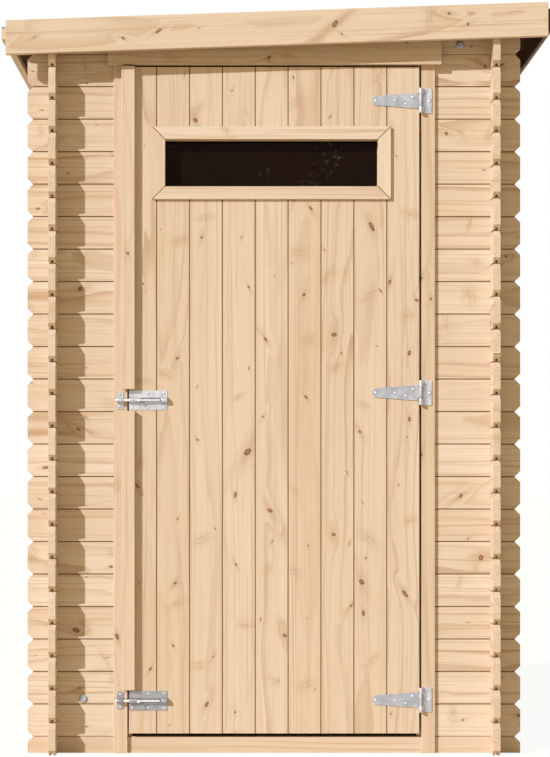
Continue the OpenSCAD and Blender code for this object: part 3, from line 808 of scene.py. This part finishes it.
# %% Join the screws of a body
def screw_piece(name, body, places):
    bm = bmesh.new()
    for i, (x, y, z, radius) in enumerate(places):
        add_screw(bm, Vector((x, y, z)), radius, 0.7 + i * 1.3)
        add_shade_ring(bm, Vector((x, y, z)), radius)
    bmesh.ops.recalc_face_normals(bm, faces=bm.faces)
    gaps = sum(1 for edge in bm.edges if not edge.is_manifold)
    mesh = bpy.data.meshes.new(name)
    bm.to_mesh(mesh)
    bm.free()
    piece = bpy.data.objects.new(name, mesh)
    bpy.context.scene.collection.objects.link(piece)
    mesh.materials.append(bright_zinc)
    mesh.materials.append(shade_ring_zinc)
    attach(piece, body)
    print(name, "heads:", len(places), "open edges:", gaps)


print("screw joiner ready")


# %% [markdown]
# ## Where the screws sit
# A strap has four screws along it and a hinge plate three. A bolt has three along each edge of its
# plate, and a keeper one above and one below. Each head stands on the face of its own plate.

# %% Screws on the hinges and bolts
HINGE_SCREW, BOLT_SCREW = 0.0036, 0.0029
HINGE_SHEET, BOLT_SHEET = 0.0025, 0.0015
BOLT_X0 = DOOR_X0 + 0.0005
KEEPER_X = DOOR_X0 - 0.0325 + 0.00875
STRAP_HOLES = ((-0.121, 0.0), (-0.069, 0.0), (-0.040, -0.0085), (-0.021, 0.0095))
PLATE_HOLES = ((0.0145, 0.0250), (0.0145, -0.0250), (0.0245, 0.0))
door_screws, frame_screws = [], []
for z in HINGE_Z:
    for dx, dz in STRAP_HOLES:
        door_screws.append((HINGE_X + dx, DOOR_FACE - HINGE_SHEET, z + dz, HINGE_SCREW))
    for dx, dz in PLATE_HOLES:
        frame_screws.append((HINGE_X + dx, POST_FACE - HINGE_SHEET, z + dz, HINGE_SCREW))
for z in BOLT_Z:
    for dx in (0.009, 0.0515, 0.094):
        for dz in (-0.019, 0.019):
            door_screws.append((BOLT_X0 + dx, DOOR_FACE - BOLT_SHEET, z + dz, BOLT_SCREW))
    for dz in (-0.0165, 0.0165):
        frame_screws.append((KEEPER_X, POST_FACE - BOLT_SHEET, z + dz, BOLT_SCREW))
screw_piece("screws_on_door", "door", door_screws)
screw_piece("screws_on_frame", "shed", frame_screws)


# %% [markdown]
# ## Ground
# A pale sheet of floor catches a faint shadow. To the eye, and in mirrors, most of it glows white,
# so that the shed stands on a plain ground. Light that bounces off it still comes from a matt,
# sandy floor, which warms the shaded undersides. The sky is made the same way, so the three
# helpers serve both.

# %% Helpers for what the eye sees directly
def clear_nodes(tree):
    for old in list(tree.nodes):
        tree.nodes.remove(old)
    return Wires(tree)


def seen_directly(w):
    path = w.node("ShaderNodeLightPath").outputs
    mirrored = w.math("MAXIMUM", path["Is Glossy Ray"], path["Is Transmission Ray"])
    return w.math("MAXIMUM", path["Is Camera Ray"], mirrored)


def blend_shaders(w, amount, first, second, end_kind):
    blend = w.node("ShaderNodeMixShader")
    w.plug(amount, blend.inputs[0])
    w.plug(first.outputs[0], blend.inputs[1])
    w.plug(second.outputs[0], blend.inputs[2])
    w.plug(blend.outputs[0], w.node(end_kind).inputs[0])


print("helpers for floor and sky ready")

# %% Floor
bm = bmesh.new()
bmesh.ops.create_grid(bm, x_segments=1, y_segments=1, size=40.0)
bmesh.ops.translate(bm, verts=bm.verts, vec=(0, 0, -0.0005))
floor_mesh = bpy.data.meshes.new("floor")
bm.to_mesh(floor_mesh)
bm.free()
floor = bpy.data.objects.new("floor", floor_mesh)
bpy.context.scene.collection.objects.link(floor)
floor_material = bpy.data.materials.new("pale_floor")
floor_material.use_nodes = True
w = clear_nodes(floor_material.node_tree)
matt = w.node("ShaderNodeBsdfDiffuse")
matt.inputs["Color"].default_value = (0.72, 0.59, 0.40, 1)
glow = w.node("ShaderNodeEmission")
glow.inputs["Color"].default_value = (1, 1, 1, 1)
glow.inputs["Strength"].default_value = 1.09
blend_shaders(w, w.mul(seen_directly(w), 0.84), matt, glow, "ShaderNodeOutputMaterial")
floor_mesh.materials.append(floor_material)
print("floor ready")


# %% [markdown]
# ## Sky
# The sky is plain: it gives an even, slightly warm fill, and shows white behind the shed and in
# the zinc.

# %% Sky
world = bpy.data.worlds.new("plain_sky")
bpy.context.scene.world = world
world.use_nodes = True
w = clear_nodes(world.node_tree)
fill = w.node("ShaderNodeBackground")
fill.inputs["Color"].default_value = (1.0, 0.86, 0.57, 1)
fill.inputs["Strength"].default_value = 0.44
white = w.node("ShaderNodeBackground")
white.inputs["Color"].default_value = (1, 1, 1, 1)
white.inputs["Strength"].default_value = 1.0
blend_shaders(w, seen_directly(w), fill, white, "ShaderNodeOutputWorld")
print("sky ready")


# %% [markdown]
# ## Sun
# One sun stands on the left in front of the wall and draws the shadows of the log ends along it.
# Its small angle keeps those shadows crisp, with a thin soft edge. Colours are shown plainly, so
# the pine comes out about as it is written.

# %% Sun
sun_data = bpy.data.lights.new("sun", "SUN")
sun_data.energy = 3.68
sun_data.color = (1.0, 1.0, 1.0)
sun_data.angle = math.radians(1.2)
sun = bpy.data.objects.new("sun", sun_data)
sun.rotation_euler = Vector((1.205, 1.0, -0.82)).to_track_quat("-Z", "Y").to_euler()
bpy.context.scene.collection.objects.link(sun)
bpy.context.scene.view_settings.view_transform = "Standard"
print("sun ready")
